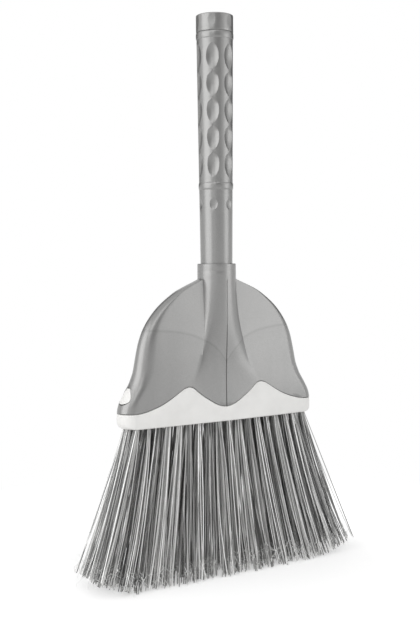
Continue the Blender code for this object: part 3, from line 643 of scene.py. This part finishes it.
def bent_copy(points, path, radius, turn):
    """The straight model's points turned about its length and laid along a path."""
    out = np.empty_like(points)
    for i, (x, y, z) in enumerate(points):
        out[i] = path(z)
        out[i, 0] += (x * math.cos(turn) - y * math.sin(turn)) * radius
        out[i, 1] += (x * math.sin(turn) + y * math.cos(turn)) * radius
    return out


def held_in(place):
    """The place, kept inside the broom's own box and above the floor."""
    return Vector((
        min(max(place.x, -BOX_HALF_WIDTH), BOX_HALF_WIDTH),
        min(max(place.y, -BOX_HALF_DEPTH), BOX_HALF_DEPTH),
        max(place.z, FLOOR_GAP),
    ))


def filament_shade(scatter):
    """About a third of the filaments are dark, nearly half are mid grey and the rest are pale."""
    draw = scatter.random()
    if draw < 0.34:
        return scatter.uniform(0, 0.3)
    if draw < 0.8:
        return scatter.uniform(0.35, 0.68)
    return scatter.uniform(0.75, 1)


def bristle_row(name, row, scatter):
    """All filaments of one row as one mesh, with each one's shade."""
    points, faces, shades = [], [], []
    count = 0

    def keep(placed, model_faces, shade):
        nonlocal count
        points.append(placed)
        faces.extend([[index + count for index in face] for face in model_faces])
        shades.extend([shade] * len(placed))
        count += len(placed)

    for tuft in range(TUFTS[row]):
        share = -1 + 2 * tuft / (TUFTS[row] - 1)
        root_x = share * ROOT_REACH[row]
        tuft_tip = share * TIP_HALF_WIDTH + scatter.gauss(0, 0.8 * MM)
        tuft_shade = scatter.gauss(0, 0.08)
        lean = scatter.gauss(0, 1.2 * MM)
        for _ in range(FILAMENTS):
            turn, away = scatter.uniform(0, math.tau), math.sqrt(scatter.random())
            root = Vector((
                root_x + ROOT_SPREAD[0] * away * math.cos(turn),
                ROW_OFFSETS[row] + ROOT_SPREAD[1] * away * math.sin(turn),
                ROOT_HEIGHT,
            ))
            wild = WILDNESS if scatter.random() < WILD_SHARE else 1
            tip_x = tuft_tip + TIP_SPREAD[0] * away * math.cos(turn) + scatter.gauss(0, 2.1 * MM) * wild
            tip_y = (
                ROW_OFFSETS[row] * ROW_SPREAD + TIP_SPREAD[1] * away * math.sin(turn)
                + lean + scatter.gauss(0, 1.6 * MM) * wild
            )
            tip_z = 0.1 * MM + abs(scatter.gauss(0, 1.3 * MM))
            tip_z += END_RISE * max(abs(tip_x) - END_CURVE, 0)
            if scatter.random() < SHORT_SHARE:
                tip_z += scatter.uniform(2, 9) * MM
            tip = held_in(Vector((tip_x, tip_y, tip_z)))
            bow = Vector((scatter.gauss(0, 1.3), scatter.gauss(0, 1.0), 0)) * MM
            outward = Vector((tip.x - root.x, tip.y - root.y, 0)) * 0.06

            def path(t, root=root, tip=tip, bow=bow, outward=outward):
                return root.lerp(tip, t) + (bow - outward) * 4 * t * (1 - t)

            shade = min(max(filament_shade(scatter) + tuft_shade, 0), 1)
            shaft = bent_copy(shaft_points, path, FILAMENT_RADIUS, scatter.uniform(0, math.tau))
            keep(shaft, shaft_faces, shade)
            if scatter.random() > FLAGGED_SHARE:
                continue
            for _ in range(HAIRS):
                start = path(scatter.uniform(0.88, 0.98))
                heading = Vector((scatter.gauss(0, 0.5), scatter.gauss(0, 0.4), scatter.uniform(-0.9, 0.3)))
                heading *= scatter.uniform(6, 14) * MM
                swing = Vector((scatter.gauss(0, 1.5), scatter.gauss(0, 1.0), scatter.gauss(0, 0.8))) * MM
                waves = scatter.uniform(1.5, 3)

                def hair_path(t, start=start, heading=heading, swing=swing, waves=waves):
                    return held_in(start + heading * t + swing * math.sin(t * waves * math.pi) * t)

                keep(bent_copy(hair_points, hair_path, HAIR_RADIUS, 0), hair_faces, scatter.uniform(0.85, 1))
    for stray_tip in STRAY_TIPS if row == 0 else ():
        root, tip = Vector((ROOT_REACH[row] + 2 * MM, ROW_OFFSETS[row], ROOT_HEIGHT)), Vector(stray_tip)

        def stray_path(t, root=root, tip=tip):
            return root.lerp(tip, t)

        keep(bent_copy(shaft_points, stray_path, FILAMENT_RADIUS, 0), shaft_faces, 0.4)
    mesh = bpy.data.meshes.new(name)
    mesh.from_pydata(np.concatenate(points).tolist(), [], faces)
    mesh.attributes.new("shade", "FLOAT", "POINT").data.foreach_set("value", np.array(shades, np.float32))
    made = bpy.data.objects.new(name, mesh)
    bpy.context.scene.collection.objects.link(made)
    bpy.context.view_layer.objects.active = made
    bpy.ops.object.mode_set(mode="EDIT")
    bpy.ops.mesh.select_all(action="SELECT")
    bpy.ops.mesh.normals_make_consistent(inside=False)
    bpy.ops.object.mode_set(mode="OBJECT")
    return made


filament = bpy.data.materials.new("grey_filament")
filament.use_nodes = True
shader = filament.node_tree.nodes["Principled BSDF"]
add = node_maker(filament)
shade = add("ShaderNodeAttribute", attribute_name="shade")
grey = colour_steps(
    add("ShaderNodeValToRGB", {"Fac": shade.outputs["Fac"]}),
    [
        (0.0, (0.05, 0.05, 0.05)), (0.35, (0.29, 0.29, 0.285)),
        (0.7, (0.68, 0.68, 0.67)), (1.0, (0.95, 0.95, 0.94)),
    ],
)
place = add("ShaderNodeTexCoord").outputs["Object"]
mottle = add("ShaderNodeTexNoise", {"Vector": place, "Scale": 120, "Detail": 2})
wear = add("ShaderNodeMapRange", {"Value": mottle.outputs["Fac"], "To Min": 0.85, "To Max": 1.15})
worn = add(
    "ShaderNodeVectorMath", {0: grey.outputs["Color"], "Scale": wear.outputs["Result"]}, operation="SCALE"
)
filament.node_tree.links.new(worn.outputs[0], shader.inputs["Base Color"])
shader.inputs["Roughness"].default_value = 0.38
for row in range(len(TUFTS)):
    bristles = bristle_row(f"tufts_row_{row + 1}", row, random.Random(11 + row))
    smoothed(bristles, 60)
    bristles.data.materials.append(filament)
    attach(bristles, "head")
    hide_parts(f"bristle_row_{row + 1}")

# ---- Threaded plug -------------------------------------------------------------------------------
# Turned-looking plug in the same pearl plastic, pressed into the foot of the handle tube. A flange
# carries the tube, and a coarse right-hand thread below it screws into the hood's socket.

# Radius and height in mm, from the spigot's top over the flange to the shank's foot.
PLUG_PROFILE = (
    (0, 282), (11.2, 282), (11.7, 281.5), (11.7, 257.7), (13.5, 257.7), (13.8, 257.4), (13.8, 255.6),
    (13.5, 255.3), (9.5, 255.3), (9.5, 230.8), (8, 229.3), (0, 229.3),
)
THREAD_START = 233.3 * MM
THREAD_PITCH = 5 * MM
THREAD_ROOT, THREAD_DEPTH = 9.3 * MM, 1.7 * MM
TURN_STEPS, THREAD_STEPS, RUN_OUT_STEPS = 48, 169, 20


def turned(name, outline, sides=72):
    """A point drawn out along the outline (radius, height) and spun about the upright axis."""
    deselect_all()
    bpy.ops.mesh.primitive_plane_add(size=1 * MM)
    piece = bpy.context.active_object
    piece.name = piece.data.name = name
    bpy.ops.object.mode_set(mode="EDIT")
    bpy.ops.mesh.select_all(action="SELECT")
    bpy.ops.mesh.merge(type="CENTER")
    radius, height = outline[0]
    bpy.ops.transform.translate(value=(radius, 0, height))
    for (radius, height), (next_radius, next_height) in zip(outline, outline[1:]):
        bpy.ops.mesh.extrude_region_move(
            TRANSFORM_OT_translate={"value": (next_radius - radius, 0, next_height - height)}
        )
    bpy.ops.mesh.select_all(action="SELECT")
    bpy.ops.mesh.spin(steps=sides, angle=math.tau, center=(0, 0, 0), axis=(0, 0, 1))
    bpy.ops.mesh.select_all(action="SELECT")
    bpy.ops.mesh.remove_doubles(threshold=0.01 * MM)
    bpy.ops.mesh.normals_make_consistent(inside=False)
    bpy.ops.object.mode_set(mode="OBJECT")
    return piece


plug = turned("threaded_plug", [(radius * MM, height * MM) for radius, height in PLUG_PROFILE])
rings = []
for i in range(THREAD_STEPS):
    turn = math.tau * i / TURN_STEPS
    height = THREAD_START + THREAD_PITCH * i / TURN_STEPS
    grown = min(1, (i + 1) / RUN_OUT_STEPS, (THREAD_STEPS - i) / RUN_OUT_STEPS)
    crest = THREAD_ROOT + THREAD_DEPTH * grown
    flank = crest - 0.25 * MM
    rings.append([
        (radius * math.cos(turn), radius * math.sin(turn), height + aside * MM)
        for radius, aside in (
            (9 * MM, -1), (9 * MM, 1), (flank, 0.68), (crest, 0.45), (crest, -0.45), (flank, -0.68),
        )
    ])
ridge = lofted("thread_ridge", rings)
pick(plug)
ridge.select_set(True)
bpy.ops.object.join()
smoothed(plug)
plug.data.materials.clear()
plug.data.materials.append(hood_plastic)
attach(plug, "handle")
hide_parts("thread_plug")

# ---- Handle grip ---------------------------------------------------------------------------------
# A hollow tapered tube in the same pearl plastic, moulded with two raised rings, six columns of five
# finger scoops between them, and one small dimple under each column.

TUBE_BOTTOM = 258 * MM
TUBE_TOP = 464.3 * MM
LOWER_RING = 330.9 * MM
UPPER_RING = 461.1 * MM
RING_HALF_HEIGHT = 3.1 * MM
SCOOPS = 5
FIRST_SCOOP = 349.8 * MM
SCOOP_PITCH = 23.1 * MM
SCOOP_HALF_LENGTH = 11.4 * MM
SCOOP_HALF_TURN = 5.7 / 15.9
DIMPLE_MIDDLE = LOWER_RING - 15.6 * MM
COLUMNS = 6
COLUMN_TURN = math.radians(-131.4)
CLOSED_TURN = 0.012
BORE_RADIUS = 12 * MM
RING_PROUD = 0.5 * MM
TOP_EDGE, TOP_EDGE_FALL = 0.6 * MM, 0.15 * MM


def tube_radius(height):
    """The plain tube's outer radius, which grows evenly from its foot to the upper ring."""
    share = (height - TUBE_BOTTOM) / (UPPER_RING - TUBE_BOTTOM)
    return (13.8 + 2.1 * share) * MM


def band_lift(height, middle, half, proud):
    """How far a raised ring with rounded edges stands out at a height."""
    away = abs(height - middle) / half
    return proud * (1 - away**3) ** 0.7 if away < 1 else 0


# Each hollow: its middle height, half its length, half its turn, its depth and how blunt its ends are.
HOLLOWS = [
    (FIRST_SCOOP + i * SCOOP_PITCH, SCOOP_HALF_LENGTH, SCOOP_HALF_TURN, 2 * MM, 0.6) for i in range(SCOOPS)
]
HOLLOWS.append((DIMPLE_MIDDLE, 5 * MM, 3.6 / 14.6, 0.9 * MM, 0.55))


def grip_ring(height, radius, hollows, spare_turn=0.16):
    """One ring of the tube, whose points close up on the edges of the hollows that it crosses."""
    half_turn, dip = spare_turn, 0
    for middle, half_length, widest, depth, roundness in hollows:
        away = (height - middle) / half_length
        if abs(away) < 1:
            full = (1 - away * away) ** roundness
            half_turn, dip = max(widest * full, CLOSED_TURN), depth * (1 - away * away) ** 0.9
        elif abs(away) < 1.5:
            half_turn = CLOSED_TURN + (half_turn - CLOSED_TURN) * ease((abs(away) - 1) / 0.5)
    ring = []
    for column in range(COLUMNS):
        middle_turn = COLUMN_TURN + math.tau * column / COLUMNS
        for i in range(13):
            across = -1 + i / 6
            turn = middle_turn + half_turn * across
            away = radius - dip * (1 - across * across)
            ring.append((away * math.cos(turn), away * math.sin(turn), height))
        rest = math.tau / COLUMNS - 2 * half_turn
        for i in range(1, 8):
            turn = middle_turn + half_turn + rest * i / 8
            ring.append((radius * math.cos(turn), radius * math.sin(turn), height))
    return ring


# Rings stand where the shape needs them: along the plain foot, in the hollows and over both bands.
heights = {TUBE_BOTTOM, TUBE_TOP - 0.5 * MM, TUBE_TOP - 0.15 * MM, TUBE_TOP}
for i in range(11):
    heights.add(TUBE_BOTTOM + (DIMPLE_MIDDLE - 9 * MM - TUBE_BOTTOM) * i / 10)
for middle, half_length, *_ in HOLLOWS:
    for i in range(23):
        heights.add(middle - half_length * math.cos(math.pi * i / 22))
for middle in (LOWER_RING, UPPER_RING):
    for away in (-1.3, -1, -0.97, -0.9, -0.8, -0.6, -0.3, 0, 0.3, 0.6, 0.8, 0.9, 0.97, 1, 1.3):
        heights.add(middle + RING_HALF_HEIGHT * away)
heights |= {DIMPLE_MIDDLE - 7.5 * MM, DIMPLE_MIDDLE + 7.5 * MM, FIRST_SCOOP - 14 * MM}
heights.add(FIRST_SCOOP + (SCOOPS - 1) * SCOOP_PITCH + 13.5 * MM)
heights = [height for height in sorted(heights) if height <= TUBE_TOP + 0.001 * MM]
rings = []
for height in heights:
    radius = tube_radius(height)
    for middle in (LOWER_RING, UPPER_RING):
        radius += band_lift(height, middle, RING_HALF_HEIGHT, RING_PROUD)
    if height > TUBE_TOP - TOP_EDGE:
        radius -= TOP_EDGE_FALL * ((height - TUBE_TOP + TOP_EDGE) / TOP_EDGE) ** 2
    rings.append(grip_ring(height, radius, HOLLOWS))
rings.append(grip_ring(TUBE_TOP, BORE_RADIUS, []))
rings.append(grip_ring(TUBE_BOTTOM, BORE_RADIUS, []))
grip = lofted("grip_tube", rings, ends="joined")
smoothed(grip, 24)
handle_plastic = pearl_plastic("handle_pearl")
grip.data.materials.append(handle_plastic)
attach(grip, "handle")
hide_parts("handle_grip")

# ---- End cap -------------------------------------------------------------------------------------
# A separate round cap in the same plastic, with a rounded rim and a slightly crowned top. Its hollow
# stem is pressed into the open end of the tube, which leaves a fine joint under it.

CAP_BOTTOM = 464.35 * MM
CAP_TOP = 479.9 * MM
CAP_RADIUS = tube_radius(TUBE_TOP) + 0.3 * MM
CAP_CROWN = 0.4 * MM
STEM_BOTTOM, STEM_RADIUS, STEM_EDGE = 452.9 * MM, 11.7 * MM, 0.5 * MM
FLUTE_MIDDLE, FLUTE_HALF_LENGTH = 473.2 * MM, 5 * MM
CAP_HOLLOWS = [(FLUTE_MIDDLE, FLUTE_HALF_LENGTH, 3 / 15.9, 0.3 * MM, 0.6)]
rings = [
    grip_ring(height, radius, [])
    for height, radius in (
        (STEM_BOTTOM, 2 * MM), (STEM_BOTTOM, STEM_RADIUS - STEM_EDGE), (STEM_BOTTOM + STEM_EDGE, STEM_RADIUS),
        (CAP_BOTTOM, STEM_RADIUS), (CAP_BOTTOM, CAP_RADIUS - 0.15 * MM),
        (CAP_BOTTOM + 0.06 * MM, CAP_RADIUS - 0.05 * MM), (CAP_BOTTOM + 0.2 * MM, CAP_RADIUS),
    )
]
rings.append(grip_ring(FLUTE_MIDDLE - 6.6 * MM, CAP_RADIUS, CAP_HOLLOWS))
for i in range(15):
    height = FLUTE_MIDDLE - FLUTE_HALF_LENGTH * math.cos(math.pi * i / 14)
    rings.append(grip_ring(height, CAP_RADIUS, CAP_HOLLOWS))
for turn in range(0, 91, 10):
    bend = math.radians(turn)
    radius = CAP_RADIUS - 1.5 * MM * (1 - math.cos(bend))
    rings.append(grip_ring(CAP_TOP - CAP_CROWN - 1.0 * MM * (1 - math.sin(bend)), radius, []))
for share in (0.8, 0.6, 0.4, 0.2, 0.03):
    rings.append(grip_ring(CAP_TOP - CAP_CROWN * share**2, CAP_RADIUS * share, []))
cap = lofted("grip_end_cap", rings)
smoothed(cap, 30)
cap.data.materials.append(handle_plastic)
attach(cap, "handle_top")
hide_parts("end_cap")

# ---- Studio --------------------------------------------------------------------------------------
# A pale floor that runs out to a white surround, a soft lamp on the left, the right and above the
# front, and three black cards that only gloss shows. The camera stands at the photo's own angle.


def seen_directly(add):
    """1 where the camera, gloss or glass looks straight at a surface, and 0 where it only gives light."""
    path = add("ShaderNodeLightPath")
    seen = path.outputs["Is Camera Ray"]
    for kind in ("Is Glossy Ray", "Is Transmission Ray"):
        seen = add("ShaderNodeMath", {0: seen, 1: path.outputs[kind]}, operation="MAXIMUM").outputs[0]
    return seen


deselect_all()
bpy.ops.mesh.primitive_plane_add(size=12)
floor = bpy.context.active_object
floor.name = "floor"
ground = bpy.data.materials.new("pale_floor")
ground.use_nodes = True
tree = ground.node_tree
shader = tree.nodes["Principled BSDF"]
shader.inputs["Base Color"].default_value = (0.9, 0.9, 0.9, 1)
shader.inputs["Roughness"].default_value = 0.6
shader.inputs["Specular IOR Level"].default_value = 0.1
add = node_maker(ground)
seen = seen_directly(add)
spot = add("ShaderNodeTexCoord").outputs["Object"]
away = add("ShaderNodeVectorMath", {0: spot}, operation="LENGTH")
reach = {"Value": away.outputs["Value"], "From Min": 0.14, "From Max": 0.4}
whiter = add("ShaderNodeMapRange", reach | {"To Min": 0.2, "To Max": 1.0})
paler = add("ShaderNodeMapRange", reach | {"To Min": 2.15, "To Max": 1.0})
share = add("ShaderNodeMath", {0: seen, 1: whiter.outputs["Result"]}, operation="MULTIPLY")
glow = add("ShaderNodeEmission", {"Color": (1, 1, 1, 1), "Strength": paler.outputs["Result"]})
mixed = add("ShaderNodeMixShader", {"Fac": share.outputs[0], 1: shader.outputs[0], 2: glow.outputs[0]})
tree.links.new(mixed.outputs[0], tree.nodes["Material Output"].inputs["Surface"])
floor.data.materials.append(ground)

world = bpy.data.worlds.new("surround")
bpy.context.scene.world = world
world.use_nodes = True
tree = world.node_tree
add = node_maker(world)
strength = add("ShaderNodeMapRange", {"Value": seen_directly(add), "To Min": 0.58, "To Max": 1.0})
backdrop = tree.nodes["Background"]
backdrop.inputs["Color"].default_value = (1, 1, 1, 1)
tree.links.new(strength.outputs["Result"], backdrop.inputs["Strength"])

EYE = Vector((-0.4973, -0.7657, 0.2724))
FACING = math.radians(-33)
AIM = Vector((0, 0, 0.25))


def soft_lamp(name, bearing, distance, height, width, tall, watts):
    """A rectangular soft lamp at a bearing from the camera's own, aimed at the broom's middle."""
    turn = FACING + math.radians(bearing)
    place = Vector((math.sin(turn) * distance, -math.cos(turn) * distance, height))
    aim = AIM - place
    lamp = bpy.data.lights.new(name, "AREA")
    lamp.shape = "RECTANGLE"
    lamp.size, lamp.size_y = width, tall
    lamp.energy = watts
    made = bpy.data.objects.new(name, lamp)
    made.location = place
    made.rotation_euler = aim.to_track_quat("-Z", "Y").to_euler()
    bpy.context.scene.collection.objects.link(made)


soft_lamp("left_lamp", -59, 1.5, 0.6, 1.35, 1.5, 14)
soft_lamp("right_lamp", 77, 1.5, 0.35, 0.85, 0.9, 4.4)
soft_lamp("front_lamp", 2, 1.3, 1.3, 1.2, 1.2, 7)


def dark_card(name, bearing, distance, width):
    """A black studio card at a bearing from the camera's own, which only gloss shows."""
    turn = FACING + math.radians(bearing)
    deselect_all()
    bpy.ops.mesh.primitive_plane_add(
        size=1, location=(math.sin(turn) * distance, -math.cos(turn) * distance, 0.9),
        rotation=(math.radians(90), 0, turn), scale=(width, 2.4, 1),
    )
    bpy.ops.object.transform_apply(location=True, rotation=True, scale=True)
    card = bpy.context.active_object
    card.name = name
    black = bpy.data.materials.new(name)
    black.use_nodes = True
    shader = black.node_tree.nodes["Principled BSDF"]
    shader.inputs["Base Color"].default_value = (0.01, 0.01, 0.01, 1)
    shader.inputs["Roughness"].default_value = 0.9
    shader.inputs["Specular IOR Level"].default_value = 0.0
    card.data.materials.append(black)
    card.visible_camera = card.visible_diffuse = card.visible_shadow = card.visible_transmission = False


dark_card("front_card", 18, 1.3, 0.8)
dark_card("left_card", -140, 1.2, 1.2)
dark_card("right_card", 140, 1.2, 1.2)

lens = bpy.data.cameras.new("camera")
lens.lens = 60
lens.sensor_width = 36
lens.shift_y = -61 / 630
lens.clip_start, lens.clip_end = 0.05, 40
camera = bpy.data.objects.new("camera", lens)
camera.location = EYE
camera.rotation_mode = "XYZ"
camera.rotation_euler = (math.radians(90), math.radians(0.48), FACING + math.radians(0.35))
bpy.context.scene.collection.objects.link(camera)
bpy.context.scene.camera = camera
bpy.context.scene.view_settings.view_transform = "Standard"
